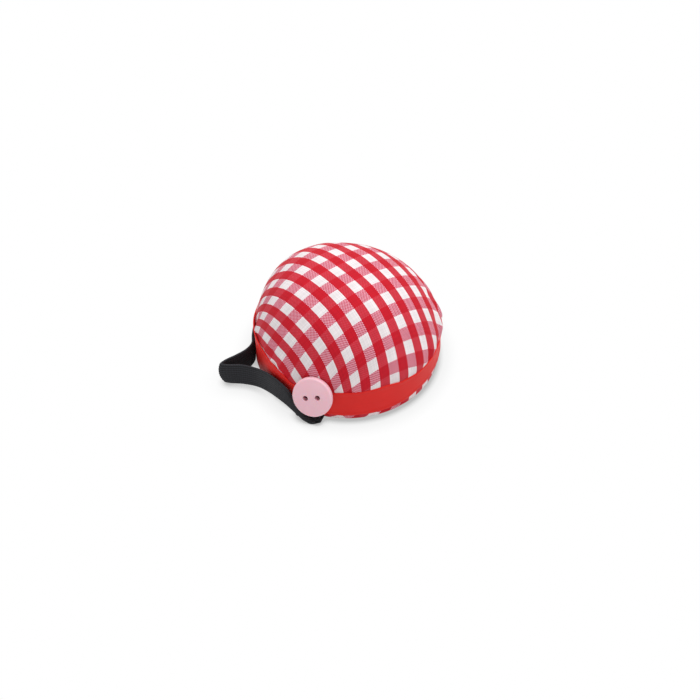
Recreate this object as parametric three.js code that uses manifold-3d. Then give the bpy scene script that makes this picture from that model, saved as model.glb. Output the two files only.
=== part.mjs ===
// Wrist pincushion. A stuffed gingham dome is glued into a cloth-covered cup. A ribbon hides the seam, a
// button sits on the ribbon at the front, and an elastic strap loops from one side of the cup to the other.
// Millimetres, +Z up. The origin is the middle of the flat underside, and the front faces -Y.
// Bearings are in degrees round the cushion's axis, counted from +X towards +Y.
import * as THREE from 'three';
import { mergeVertices } from 'three/addons/utils/BufferGeometryUtils.js';
import Module from 'manifold-3d';

const wasm = await Module();
wasm.setup();

// Driving dimensions

// Fits and materials
const CLEARANCE = 0.3; // between pieces that touch
const CLOTH = 0.5; // gingham
const LATHE_STEPS = 52;
const ROD_STEPS = 24; // thread, glue and holes

// Cup and the cloth over it
const BASE_DIAMETER = 70; // over the ribbon
const CUP_WALL = 1.2;
const CUP_FLOOR = 2.6;
const BASE_EDGE_RADIUS = 2.5; // between the underside and the side, over the cloth
const LIP_RADIUS = 0.5; // of the cup's rim
const HEM_DEPTH = 6; // cloth turned over the rim and down inside the cup

// Ribbon round the side
const RIBBON_WIDTH = 12;
const RIBBON_THICKNESS = 0.4;
const RIBBON_LOW_EDGE = 4; // above the underside
const RIBBON_STEPS = 80;
const RIBBON_OVERLAP = 7; // double length, behind the button
const RIBBON_RAMP = 6; // length over which the outer end climbs onto the inner one
const LIP_DROP = 0.5; // covered rim below the ribbon's top edge

// Stuffed dome
const DOME_INSET = 0.1; // of its widest ring from the ribbon's outer face
const DOME_HEIGHT = 28; // above its widest ring, on the axis
const DOME_PLAN_POWER = 2.8; // 2 is an ellipsoid, and more is flatter on top
const DOME_RISE_POWER = 1.4; // 2 is an ellipsoid, and less is more pointed
const DOME_LEAN = 0.17; // extra height at the rim on the plump side, as a share
const PLUMP_BEARING = 208;
const DOME_SECTORS = 40;
const DOME_RINGS = 10; // outside; the lining and the filling have fewer
const LINING_RINGS = 6;
const GATHERS = 10; // soft tucks where the cloth is drawn in at the ribbon
const GATHER_DEPTH = 0.7;
const GATHER_REACH = 7; // height over which a tuck fades out
const GATHER_VARIETY = 0.35; // difference between deep and shallow tucks
const GATHER_GROUPS = 3; // deep tucks lie in so many places
const PLUG_EDGE_RADIUS = 4; // lower edge of the part inside the cup
const PLUG_EDGE_STEPS = 3;
const NECK_RADIUS = 3.2; // drawn-up end of the cloth, under the dome

// Thread and glue
const THREAD_DIAMETER = 0.8;
const DOME_GLUE_THICKNESS = 1.6;
const DOME_GLUE_RADIUS = 24;
const BUTTON_GLUE_RADIUS = 4.4;

// Button
const BUTTON_DIAMETER = 15;
const BUTTON_THICKNESS = 2.6;
const BUTTON_RIM_WIDTH = 2; // rounded rim round the dished face
const BUTTON_DISH = 0.5;
const BUTTON_EDGE_RADIUS = 0.5; // back edge
const BUTTON_HOLE_DIAMETER = 2;
const BUTTON_HOLE_SPACING = 4.6;
const BUTTON_BEARING = 250;
const BUTTON_TILT = 25; // face turned up from level
const BUTTON_DROP = 1; // middle of the back below the ribbon's top edge
const BUTTON_STEPS = 32;

// Elastic strap
const STRAP_WIDTH = 10;
const STRAP_THICKNESS = 1.2;
const STRAP_BEARING = 246; // slit at the front; the other is opposite
const STRAP_TAB_LENGTH = 9; // held between the cup and its cover
const STRAP_STUB = 0.8; // straight start of the free loop
const STRAP_STEPS = 5; // sections between two rows of the route
const BACK_LIFT = 0.26; // lower edge at the back, where the band lies along the ribbon, in strap widths

// Route of the free loop, one row for each crosswise line of the band: lower edge, then upper edge. Each is
// a bearing from the slit, a distance out from the line where the band touches the ribbon, and a height, the
// last two in strap widths.
const SLIT_TURN = [
  [[4.2, 0.25, 0.09], [-8.1, 0.09, 0.36]],
  [[0.5, 0.29, 0.09], [-8.8, 0.12, 0.66]],
  [[-5.1, 0.19, 0.16], [-10.7, 0.13, 0.98]],
  [[-13.2, 0.09, 0.28], [-14.9, 0.12, 1.24]],
];
const FOLD_ROWS = [
  [[-23, 0.07, 0.32], [-23.4, 0.07, 1.3]],
  [[-32.7, 0.16, 0.18], [-33.5, 0.17, 1.18]],
  [[-40.8, 0.57, 0.07], [-41.8, 0.61, 1.07]],
  [[-45.4, 1.07, 0.04], [-46.4, 1.15, 1.04]],
  [[-47.5, 1.21, 0.04], [-48.6, 1.32, 1.04]],
  [[-48.5, 1.06, 0.04], [-49.6, 1.14, 1.04]],
  [[-50.1, 0.57, 0.09], [-51.2, 0.63, 1.09]],
  [[-53.4, 0.16, 0.22], [-54.3, 0.17, 1.22]],
];
const BACK_BEARINGS = [-62, -76, -90, -104, -118, -132, -146];

// Sizes that follow

const ribbonOuter = BASE_DIAMETER / 2;
const ribbonInner = ribbonOuter - RIBBON_THICKNESS;
const ribbonTop = RIBBON_LOW_EDGE + RIBBON_WIDTH;
const overlapOuter = ribbonOuter + CLEARANCE + RIBBON_THICKNESS;
const coverOuter = ribbonInner - CLEARANCE;
const coverInner = coverOuter - CLOTH;
const coverTop = ribbonTop - LIP_DROP;
const cupOuter = coverInner - CLEARANCE;
const cupInner = cupOuter - CUP_WALL;
const cupBottom = CLOTH + CLEARANCE;
const cupFloorTop = cupBottom + CUP_FLOOR;
const cupTop = coverTop - CLOTH - CLEARANCE;
const hemOuter = cupInner - CLEARANCE;
const hemInner = hemOuter - CLOTH;
const domeRadius = ribbonOuter - DOME_INSET;
const domeSeat = ribbonTop + CLEARANCE;
const plugRadius = hemInner - CLEARANCE;
const glueBottom = cupFloorTop + CLEARANCE;
const plugBottom = glueBottom + DOME_GLUE_THICKNESS + CLEARANCE;
const strapTouch = ribbonOuter + CLEARANCE + STRAP_THICKNESS / 2;
const tabBottom = cupBottom;
const tabMiddle = tabBottom + STRAP_THICKNESS / 2;
const tabEnd = overlapOuter;

// Geometry helpers

// Merges shared corners, drops flat triangles and turns the faces outward.
function closedSolid(geometry) {
  const bare = new THREE.BufferGeometry();
  bare.setAttribute('position', geometry.getAttribute('position'));
  bare.setIndex(geometry.getIndex());
  const merged = mergeVertices(bare, 1e-4);
  const corners = merged.getIndex().array;
  const place = merged.getAttribute('position');
  const kept = [];
  let volume = 0;
  for (let i = 0; i < corners.length; i += 3) {
    const [a, b, c] = corners.subarray(i, i + 3);
    if (a === b || b === c || c === a) continue;
    kept.push(a, b, c);
    const [p, q, r] = [a, b, c].map((k) => new THREE.Vector3().fromBufferAttribute(place, k));
    volume += p.dot(q.cross(r));
  }
  if (volume < 0) kept.reverse();
  merged.setIndex(kept);
  return merged;
}

function toManifold(geometry) {
  const { position } = geometry.attributes;
  return new wasm.Manifold(new wasm.Mesh({
    numProp: 3,
    vertProperties: new Float32Array(position.array),
    triVerts: new Uint32Array(geometry.getIndex().array),
  }));
}

function fromManifold(solid) {
  const { vertProperties, triVerts } = solid.getMesh();
  const geometry = new THREE.BufferGeometry();
  geometry.setAttribute('position', new THREE.BufferAttribute(vertProperties, 3));
  geometry.setIndex(new THREE.BufferAttribute(triVerts, 1));
  return geometry;
}

function cut(geometry, ...tools) {
  const rest = tools.reduce((solid, tool) => solid.subtract(toManifold(tool)), toManifold(geometry));
  return fromManifold(rest);
}

// Turns a profile of radius and height round Z.
function revolve(path, steps, arcSteps = 2) {
  const geometry = new THREE.LatheGeometry(path.getPoints(arcSteps), steps);
  return closedSolid(geometry.rotateX(Math.PI / 2));
}

// Skins rows of points, each row a closed loop. A row drawn to one point closes an end.
function skinRows(rows) {
  const count = rows[0].length;
  const corners = [];
  for (let i = 0; i + 1 < rows.length; i += 1) {
    for (let j = 0; j < count; j += 1) {
      const next = (j + 1) % count;
      const [a, b] = [i * count + j, i * count + next];
      const [c, d] = [a + count, b + count];
      corners.push(a, b, c, b, d, c);
    }
  }
  const geometry = new THREE.BufferGeometry().setFromPoints(rows.flat());
  geometry.setIndex(corners);
  return closedSolid(geometry);
}

function box(length, width, height) {
  return closedSolid(new THREE.BoxGeometry(length, width, height));
}

function rod(radius, length, steps) {
  return closedSolid(new THREE.CylinderGeometry(radius, radius, length, steps)).rotateX(Math.PI / 2);
}

function polar(bearing, radius, height) {
  const angle = THREE.MathUtils.degToRad(bearing);
  return new THREE.Vector3(radius * Math.cos(angle), radius * Math.sin(angle), height);
}

function piece(name, geometry, material) {
  const mesh = new THREE.Mesh(geometry, material);
  mesh.name = name;
  return mesh;
}

function paint(colour, roughness) {
  return new THREE.MeshStandardMaterial({ color: colour, roughness, metalness: 0 });
}

const gingham = paint(0xd98a95, 0.9);
const satin = paint(0xd2322f, 0.45);
const pinkPlastic = paint(0xe8b6c4, 0.35);
const blackElastic = paint(0x303236, 0.85);
const whitePlastic = paint(0xe6e4df, 0.5);
const whiteFibre = paint(0xf4f3f0, 1);
const redThread = paint(0xb02030, 0.7);
const clearGlue = paint(0xe9e2cf, 0.4);

// Cup and its cover

// The two strap ends lie in the front and the rear group, with +X pointing out of the slit.
function atSlits(build) {
  return [STRAP_BEARING, STRAP_BEARING + 180].map((bearing) =>
    build().rotateZ(THREE.MathUtils.degToRad(bearing)));
}

// Room for one strap end, from an inner to an outer radius.
function strapSpace(inner, outer) {
  const height = STRAP_THICKNESS + 2 * CLEARANCE;
  return box(outer - inner, STRAP_WIDTH + 2 * CLEARANCE, height)
    .translate((inner + outer) / 2, 0, tabMiddle);
}

function baseCup() {
  const edge = BASE_EDGE_RADIUS - CLOTH - CLEARANCE;
  const profile = new THREE.Path();
  profile.moveTo(0, cupBottom);
  profile.lineTo(cupOuter - edge, cupBottom);
  profile.absarc(cupOuter - edge, cupBottom + edge, edge, -Math.PI / 2, 0);
  profile.lineTo(cupOuter, cupTop - LIP_RADIUS);
  profile.absarc(cupOuter - LIP_RADIUS, cupTop - LIP_RADIUS, LIP_RADIUS, 0, Math.PI / 2);
  profile.absarc(cupInner + LIP_RADIUS, cupTop - LIP_RADIUS, LIP_RADIUS, Math.PI / 2, Math.PI);
  profile.lineTo(cupInner, cupFloorTop + LIP_RADIUS);
  profile.absarc(cupInner - LIP_RADIUS, cupFloorTop + LIP_RADIUS, LIP_RADIUS, 0, -Math.PI / 2, true);
  profile.lineTo(0, cupFloorTop);
  const groove = () => strapSpace(tabEnd - STRAP_TAB_LENGTH - CLEARANCE, tabEnd)
    .translate(0, 0, -CLEARANCE / 2);
  return cut(revolve(profile, LATHE_STEPS, 1), ...atSlits(groove));
}

function baseCover() {
  const innerEdge = BASE_EDGE_RADIUS - CLOTH;
  const turnMiddle = (coverOuter + hemInner) / 2;
  const turnOuter = (coverOuter - hemInner) / 2;
  const turnInner = turnOuter - CLOTH;
  const turnHeight = coverTop - turnOuter;
  const hemEnd = cupTop - HEM_DEPTH;
  const profile = new THREE.Path();
  profile.moveTo(0, 0);
  profile.lineTo(coverOuter - BASE_EDGE_RADIUS, 0);
  profile.absarc(coverOuter - BASE_EDGE_RADIUS, BASE_EDGE_RADIUS, BASE_EDGE_RADIUS, -Math.PI / 2, 0);
  profile.absarc(turnMiddle, turnHeight, turnOuter, 0, Math.PI);
  profile.lineTo(hemInner, hemEnd);
  profile.lineTo(hemOuter, hemEnd);
  profile.absarc(turnMiddle, turnHeight, turnInner, Math.PI, 0, true);
  profile.absarc(coverOuter - BASE_EDGE_RADIUS, BASE_EDGE_RADIUS, innerEdge, 0, -Math.PI / 2, true);
  profile.lineTo(0, CLOTH);
  const slit = () => strapSpace(coverOuter - BASE_EDGE_RADIUS, tabEnd);
  return cut(revolve(profile, LATHE_STEPS), ...atSlits(slit));
}

// Ribbon, laid round once with its outer end over its inner end

function rimRibbon() {
  const around = 2 * Math.PI;
  const overlap = RIBBON_OVERLAP / ribbonOuter;
  const ramp = RIBBON_RAMP / ribbonOuter;
  const start = THREE.MathUtils.degToRad(BUTTON_BEARING) - overlap / 2;
  const climb = overlapOuter - ribbonOuter;
  const total = around + overlap;
  const rim = (face) => Array.from({ length: RIBBON_STEPS + 1 }, (_, i) => {
    const turn = (total * i) / RIBBON_STEPS;
    const rise = THREE.MathUtils.smoothstep(turn, around - ramp, around);
    const radius = face + climb * rise;
    return new THREE.Vector2(radius * Math.cos(start + turn), radius * Math.sin(start + turn));
  });
  const outline = [...rim(ribbonOuter), ...rim(ribbonInner).reverse()];
  const laid = new THREE.Shape(outline);
  const strip = new THREE.ExtrudeGeometry(laid, { depth: RIBBON_WIDTH, bevelEnabled: false });
  return closedSolid(strip).translate(0, 0, RIBBON_LOW_EDGE);
}

// Stuffed dome

// Height of the dome on one bearing, where share is 0 on the axis and 1 at the widest ring.
function domeRise(bearing, share) {
  const lean = DOME_LEAN * Math.cos(THREE.MathUtils.degToRad(bearing - PLUMP_BEARING));
  return DOME_HEIGHT * (1 + lean * share);
}

// Depth of the tucks, which differ from one to the next.
function gather(bearing, height) {
  const angle = THREE.MathUtils.degToRad(bearing);
  const tuck = 0.5 - 0.5 * Math.cos(GATHERS * angle);
  const uneven = 1 - GATHER_VARIETY * (1 - Math.cos(GATHER_GROUPS * angle));
  return GATHER_DEPTH * tuck * uneven * Math.exp(-((height / GATHER_REACH) ** 2));
}

// Rows of the dome's surface from the crown to the neck, set in from the outside by the given depth.
function domeRows(inset, rings) {
  const bearings = Array.from({ length: DOME_SECTORS }, (_, j) => (360 * j) / DOME_SECTORS);
  const row = (place) => bearings.map(place);
  const rows = [];
  for (let i = 0; i <= rings; i += 1) {
    const tilt = (Math.PI / 2) * (i / rings);
    const share = Math.sin(tilt) ** (2 / DOME_PLAN_POWER);
    const lift = Math.max(Math.cos(tilt), 0) ** (2 / DOME_RISE_POWER);
    rows.push(row((bearing) => {
      const height = (domeRise(bearing, share) - 2 * inset) * lift;
      const radius = (domeRadius - inset) * share - share * gather(bearing, height);
      return polar(bearing, radius, domeSeat + inset + height);
    }));
  }
  const edge = PLUG_EDGE_RADIUS - inset;
  const corner = plugRadius - PLUG_EDGE_RADIUS;
  rows.push(row((bearing) => polar(bearing, plugRadius - inset, domeSeat + inset)));
  for (let i = 0; i <= PLUG_EDGE_STEPS; i += 1) {
    const turn = (Math.PI / 2) * (i / PLUG_EDGE_STEPS);
    const radius = corner + edge * Math.cos(turn);
    const height = plugBottom + PLUG_EDGE_RADIUS - edge * Math.sin(turn);
    rows.push(row((bearing) => polar(bearing, radius, height)));
  }
  return rows;
}

function neckRow(radius, height) {
  return Array.from({ length: DOME_SECTORS }, (_, j) => polar((360 * j) / DOME_SECTORS, radius, height));
}

function domeCover() {
  const neckInner = NECK_RADIUS - CLOTH;
  const neck = [
    neckRow(NECK_RADIUS, plugBottom),
    neckRow(NECK_RADIUS, glueBottom),
    neckRow(neckInner, glueBottom),
    neckRow(neckInner, plugBottom + CLOTH),
  ];
  return skinRows([...domeRows(0, DOME_RINGS), ...neck, ...domeRows(CLOTH, LINING_RINGS).reverse()]);
}

function fibreFilling() {
  const inset = CLOTH + CLEARANCE;
  return skinRows([...domeRows(inset, LINING_RINGS), neckRow(0, plugBottom + inset)]);
}

function gatherThread() {
  const radius = THREAD_DIAMETER / 2;
  const loop = new THREE.Path().absarc(NECK_RADIUS + CLEARANCE + radius, 0, radius, 0, 2 * Math.PI);
  return revolve(loop, ROD_STEPS, 4).translate(0, 0, (glueBottom + plugBottom) / 2);
}

function domeGlue() {
  const inner = NECK_RADIUS + THREAD_DIAMETER + 2 * CLEARANCE;
  const ring = new THREE.Path();
  ring.moveTo(inner, glueBottom);
  ring.lineTo(DOME_GLUE_RADIUS, glueBottom);
  ring.lineTo(DOME_GLUE_RADIUS, glueBottom + DOME_GLUE_THICKNESS);
  ring.lineTo(inner, glueBottom + DOME_GLUE_THICKNESS);
  ring.closePath();
  return revolve(ring, DOME_SECTORS);
}

// Button

// Radius of what lies behind the button at a height, on its bearing.
function backing(height) {
  if (height <= domeSeat) return overlapOuter;
  const rise = (height - domeSeat) / domeRise(BUTTON_BEARING, 1);
  return domeRadius * (1 - rise ** DOME_RISE_POWER) ** (1 / DOME_PLAN_POWER);
}

// Distance of the middle of the button's back from the axis. The tilted back clears what is behind it.
function buttonReach(middle) {
  const tilt = THREE.MathUtils.degToRad(BUTTON_TILT);
  let reach = 0;
  for (let i = 0; i <= BUTTON_STEPS; i += 1) {
    const up = (i / BUTTON_STEPS) * (BUTTON_DIAMETER / 2);
    reach = Math.max(reach, backing(middle + up * Math.cos(tilt)) + up * Math.sin(tilt));
  }
  return reach + CLEARANCE;
}

function button() {
  const radius = BUTTON_DIAMETER / 2;
  const rim = BUTTON_RIM_WIDTH / 2;
  const dishRadius = radius - BUTTON_RIM_WIDTH;
  const faceHeight = BUTTON_THICKNESS - BUTTON_DISH;
  const profile = new THREE.Path();
  profile.moveTo(0, 0);
  profile.lineTo(radius - BUTTON_EDGE_RADIUS, 0);
  profile.absarc(radius - BUTTON_EDGE_RADIUS, BUTTON_EDGE_RADIUS, BUTTON_EDGE_RADIUS, -Math.PI / 2, 0);
  profile.absarc(radius - rim, BUTTON_THICKNESS - rim, rim, 0, Math.PI / 2);
  profile.quadraticCurveTo(dishRadius, BUTTON_THICKNESS, dishRadius - rim / 2, faceHeight + BUTTON_DISH / 4);
  profile.quadraticCurveTo(dishRadius / 2, faceHeight, 0, faceHeight);
  const hole = (side) => rod(BUTTON_HOLE_DIAMETER / 2, 2 * BUTTON_THICKNESS, ROD_STEPS)
    .translate((side * BUTTON_HOLE_SPACING) / 2, 0, BUTTON_THICKNESS / 2);
  return cut(revolve(profile, BUTTON_STEPS, 3), hole(-1), hole(1));
}

// Group whose origin is the middle of the button's back, with +Z out of its face.
function buttonSeat() {
  const middle = ribbonTop - BUTTON_DROP;
  const seat = new THREE.Group();
  seat.position.copy(polar(BUTTON_BEARING, buttonReach(middle), middle));
  seat.rotation.order = 'ZYX';
  seat.rotation.z = THREE.MathUtils.degToRad(BUTTON_BEARING + 90);
  seat.rotation.x = THREE.MathUtils.degToRad(90 - BUTTON_TILT);
  seat.updateMatrixWorld(true);
  return seat;
}

// Glue between the button and the ribbon, hollowed to the ribbon's round side.
function buttonGlue(seat) {
  const depth = BUTTON_DIAMETER / 2;
  const blob = rod(BUTTON_GLUE_RADIUS, depth, ROD_STEPS)
    .translate(0, -BUTTON_GLUE_RADIUS / 2, -depth / 2 - CLEARANCE);
  const ribbonSide = rod(overlapOuter + CLEARANCE, 2 * BASE_DIAMETER, 2 * LATHE_STEPS)
    .applyMatrix4(seat.matrixWorld.clone().invert());
  return cut(blob, ribbonSide);
}

// Elastic strap

function strapEnd() {
  return box(STRAP_TAB_LENGTH, STRAP_WIDTH, STRAP_THICKNESS)
    .translate(tabEnd - STRAP_TAB_LENGTH / 2, 0, tabMiddle);
}

// One crosswise line of the band: its lower and its upper edge.
function strapRow([low, high]) {
  return [low, high].map(([bearing, out, height]) =>
    polar(STRAP_BEARING + bearing, strapTouch + out * STRAP_WIDTH, height * STRAP_WIDTH));
}

// The same row seen in the line midway between the two slits.
function mirrored(row) {
  return row.map(([bearing, out, height]) => [-180 - bearing, out, height]);
}

// Flat row at a distance from the axis, level with the strap's end.
function flatRow(bearing, distance, side) {
  const turn = THREE.MathUtils.degToRad(STRAP_BEARING + bearing);
  return [STRAP_WIDTH / 2, -STRAP_WIDTH / 2].map((offset) =>
    new THREE.Vector3(distance, side * offset, tabMiddle).applyAxisAngle(new THREE.Vector3(0, 0, 1), turn));
}

function strapRoute() {
  const start = tabEnd + CLEARANCE;
  const back = BACK_BEARINGS.map((bearing) =>
    [[bearing, 0, BACK_LIFT], [bearing, 0, BACK_LIFT + 1]]);
  return [
    flatRow(0, start, 1),
    flatRow(0, start + STRAP_STUB, 1),
    ...[...SLIT_TURN, ...FOLD_ROWS, ...back, ...SLIT_TURN.map(mirrored).reverse()].map(strapRow),
    flatRow(-180, start + STRAP_STUB, -1),
    flatRow(-180, start, -1),
  ];
}

function wristStrap() {
  const route = strapRoute();
  const edges = [0, 1].map((side) =>
    new THREE.CatmullRomCurve3(route.map((row) => row[side]), false, 'centripetal'));
  const count = (route.length - 1) * STRAP_STEPS;
  const lines = Array.from({ length: count + 1 }, (_, i) => edges.map((edge) => edge.getPoint(i / count)));
  const middles = lines.map(([low, high]) => low.clone().lerp(high, 0.5));
  const rows = lines.map(([low, high], i) => {
    const along = middles[Math.min(i + 1, count)].clone().sub(middles[Math.max(i - 1, 0)]);
    const across = high.clone().sub(low).setLength(STRAP_WIDTH / 2);
    const through = along.cross(across).setLength(STRAP_THICKNESS / 2);
    return [[-1, -1], [1, -1], [1, 1], [-1, 1]].map(([a, t]) =>
      middles[i].clone().addScaledVector(across, a).addScaledVector(through, t));
  });
  const cap = (i) => Array(4).fill(middles[i]);
  return skinRows([cap(0), ...rows, cap(count)]);
}

// Assembly

const cushion = new THREE.Group();
cushion.add(piece('base_cup', baseCup(), whitePlastic));
cushion.add(piece('base_cover', baseCover(), gingham));
cushion.add(piece('rim_ribbon', rimRibbon(), satin));
cushion.add(piece('dome_cover', domeCover(), gingham));
cushion.add(piece('fibre_filling', fibreFilling(), whiteFibre));
cushion.add(piece('gather_thread', gatherThread(), redThread));
cushion.add(piece('dome_glue', domeGlue(), clearGlue));

const seat = buttonSeat();
seat.add(piece('button', button(), pinkPlastic));
seat.add(piece('button_glue', buttonGlue(seat), clearGlue));
cushion.add(seat);

const strap = new THREE.Group();
const [frontEnd, rearEnd] = atSlits(strapEnd);
strap.add(piece('strap_end_front', frontEnd, blackElastic));
strap.add(piece('strap_end_rear', rearEnd, blackElastic));
strap.add(piece('wrist_strap', wristStrap(), blackElastic));

const pincushion = new THREE.Group();
pincushion.add(cushion, strap);

export default pincushion;
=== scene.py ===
# Wrist pincushion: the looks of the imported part. The frame is in metres, +Z up, with the front towards -Y.
# Lengths in this file are in millimetres and angles in degrees. Bearings run from +X towards +Y.
import math
import random

import bmesh
import bpy
import numpy as np
from mathutils import Matrix, Vector, noise
from mathutils.bvhtree import BVHTree


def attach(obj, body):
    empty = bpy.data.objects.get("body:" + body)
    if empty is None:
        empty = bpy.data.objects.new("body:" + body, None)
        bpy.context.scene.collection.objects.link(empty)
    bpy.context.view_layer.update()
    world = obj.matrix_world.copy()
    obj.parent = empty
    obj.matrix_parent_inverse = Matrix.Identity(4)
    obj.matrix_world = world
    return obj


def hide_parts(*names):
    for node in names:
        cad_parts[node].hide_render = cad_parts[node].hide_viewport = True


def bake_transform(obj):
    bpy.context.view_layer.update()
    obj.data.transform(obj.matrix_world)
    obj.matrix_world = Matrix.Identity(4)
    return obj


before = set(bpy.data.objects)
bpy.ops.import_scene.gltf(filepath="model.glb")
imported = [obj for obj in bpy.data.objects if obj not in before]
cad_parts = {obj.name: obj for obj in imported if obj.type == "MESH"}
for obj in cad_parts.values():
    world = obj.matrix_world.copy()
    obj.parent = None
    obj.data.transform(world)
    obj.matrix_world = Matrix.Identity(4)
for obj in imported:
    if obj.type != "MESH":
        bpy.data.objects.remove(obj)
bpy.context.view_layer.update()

MM = 0.001

# Camera: distance from the origin, height above the horizon, and the picture's own turn
CAMERA_DISTANCE = 550
CAMERA_ELEVATION = 46.5
CAMERA_ROLL = -1.05
CAMERA_LENS = 73.8
SENSOR = 36
CLIP_START = 10
SHIFT = (0.00255, 0.00468)

# Stuffed dome
DOME_RADIUS = 34.9
DOME_SEAT = 16.3
DOME_HEIGHT = 28
DOME_PLAN_POWER = 2.8
DOME_RISE_POWER = 1.4
DOME_LEAN = 0.17
PLUMP_BEARING = 208
DOME_RINGS = 110
DOME_SECTORS = 384
RIM_ROLL = 0.12  # cloth drawn in where it goes behind the ribbon
RIM_ROLL_REACH = 1.1
RIM_SINK = 0.4  # cloth goes on behind the ribbon's upper edge
RIM_SINK_REACH = 7
SINK_LEAST = 0.01  # from here on the cloth keeps the dome's full radius
SEAM_HEIGHT = 15.8  # lowest line of the dome outside the cup
SEAM_MARGIN = 0.1  # shown cloth begins this far above it
# Turn of the cloth over the cup's edge: in from the dome or out from the plug, and height from the seam
SEAM_OUTER = [(0.1, 0.2), (1.2, 0)]
SEAM_INNER = [(0.4, -0.05), (0, -0.6)]
PLUG_RADIUS = 31.2  # part of the dome inside the cup
PLUG_BOTTOM = 5.6
PLUG_EDGE = 4
PLUG_EDGE_STEPS = 6
NECK_RADIUS = 3.2  # gathered cloth under the plug
NECK_BOTTOM = 3.7
LEAST_RADIUS = 1  # keeps a division by the radius safe at the axis

# Soft tucks all round, as in the solid
GATHERS = 10
GATHER_DEPTH = 0.7
GATHER_REACH = 7
GATHER_VARIETY = 0.35
GATHER_GROUPS = 3

# Pleats that show one by one: bearing, half width, depth, height, and lean of the fold with height
PLEATS = [
    (181, 3.2, 1.5, 5.5, 0.3),
    (219, 3.0, 0.7, 6.0, -0.5),
    (271, 1.6, 0.6, 2.2, 0.0),
    (299, 2.4, 0.5, 4.0, 0.3),
    (329, 2.4, 0.9, 8.0, 0.4),
    (349, 2.2, 0.7, 10.0, 0.4),
    (1, 2.4, 1.0, 12.0, 0.6),
    (13, 2.4, 0.9, 12.0, 0.5),
    (37, 2.6, 0.9, 8.0, 0.2),
    (74, 2.8, 0.8, 7.0, -0.3),
    (112, 2.6, 0.9, 8.0, 0.3),
    (146, 2.6, 0.9, 9.0, -0.2),
]
PLEAT_SHOULDER = 0.55  # ridge beside a pleat, as a share of its depth
PLEAT_SHOULDER_PLACE = 1.7  # from the pleat, in half widths
PRESSED_SHARE = 0.2  # of a tuck's depth, where the ribbon presses on it
PRESSED_REACH = 2
PUCKERS = 46  # small ones right at the ribbon
PUCKER_JITTER = 0.35  # of the space between two
PUCKER_DEPTH = (0.08, 0.26)
PUCKER_WIDTH = (1.1, 2.4)
PUCKER_REACH = (1.4, 3.6)
LUMP_SIZE = 13  # unevenness of the stuffing
LUMP_HEIGHT = 0.22
CORE_RADIUS = 8  # relief fades from here to the axis
# Fuller and flatter places: bearing, spread, height above the ribbon, spread, and how far out
SWELLS = [(134, 26, 12, 9, 1.2), (84, 20, 21, 8, -0.6), (2, 14, 1.5, 5, 0.9)]

# Gingham: size of a check across and along the warp, and where the cloth touches the dome unsheared
CHECK_ACROSS = 7.932
CHECK_ALONG = 9.567
NET_START = (8.35, -5.76)
NET_CHECK = (0.801, 0.107)  # check number at that point
WARP_BEARING = -48.15
WEFT_TURN = 86.03  # from the warp's bearing
NET_SPLIT = 2  # net lines for each check
NET_REACH_ACROSS = 9
NET_REACH_ALONG = 8
NET_DEPTH = 6  # net goes on below the seat
FIT_ROUNDS = 6  # of Newton's method, on a thread and in a mesh
CORNER_ROUNDS = 10
CORNER_MOVE = 3  # longest move in one round
CLOSE_ENOUGH = 1e-5
NEARLY_ZERO = 1e-9
OVERSHOOT = 2  # meshes past the nearest one
WARP_THREADS = 20  # in one check
WEFT_THREADS = 24

# Cup's cloth
COVER_RADIUS = 34.3
COVER_EDGE = 2.5
COVER_TOP = 15.5
COVER_INNER = 31.5
COVER_HEM_END = 8.7
COVER_CLOTH = 0.5
COVER_SECTORS = 320
COVER_FLOOR_RINGS = 14
COVER_SIDE_RINGS = 8
COVER_EDGE_STEPS = 10
COVER_CHECK = (0.32, 0.14)  # check number at the middle of the underside
COVER_WARP_BEARING = -38
COVER_PUCKERS = 40
COVER_PUCKER_WIDTH = (1.2, 2.6)
COVER_PUCKER_DEPTH = (0.05, 0.22)
COVER_PUCKER_LEVEL = 4  # height at which they are deepest
COVER_PUCKER_FADE = 3
SLIT_DEPTH = 8
SLIT_ROOM = (0.5, 0.4)  # round the strap's width and thickness
SLIT_PLACE = 1.2  # middle of the cut, outside the cloth

# Ribbon
RIBBON_RADIUS = 35
RIBBON_LOW = 4
RIBBON_TOP = 16.3
RIBBON_THICKNESS = 0.4
RIBBON_OVERLAP = 7
RIBBON_RAMP = 6
RIBBON_CLIMB = 0.7  # of its end over its start
RIBBON_SEGMENTS = 420
RIBBON_ROWS = 22
RIBBON_HEM = 1.3
RIBBON_HEM_RISE = 0.1
RIBBON_HEM_SOFTNESS = 0.08
HEM_MIRROR = 6.2  # about half the ribbon's width, where its two hems meet
# width of the painted shade along the fold where each hem ends
HEM_FOLD_SHADE_WIDTH = 0.22
SATIN_THREAD = 0.34
RIPPLE_HEIGHT = 0.12
RIPPLE_TURN = 9
RIPPLE_RISE = 7
RIBBON_FLARE = 0.35  # where its upper edge stands off at the left
RIBBON_FLARE_BEARING = 178
RIBBON_FLARE_SPREAD = 24
RIBBON_FLARE_START = 10
# Waves of its edges: bearing and rise
RIBBON_TOP_WAVE = [
    (0, -2.0), (16, -1.5), (40, 0.1), (90, -0.2), (122, 0.2), (144, 2.8), (152, 2.0), (168, 0.8), (180, 1.4),
    (194, 2.6), (206, 2.6), (217, 1.2), (226, 0.2), (234, -2.0), (250, -1.2), (272, -0.3), (292, 0.3),
    (306, -0.9), (318, -1.8), (340, -2.0),
]
RIBBON_LOW_WAVE = [(0, 2.6), (30, 2.2), (70, 0.3), (120, 0), (285, 0), (303, 0.5), (320, 1.5), (338, 2.3)]

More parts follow.
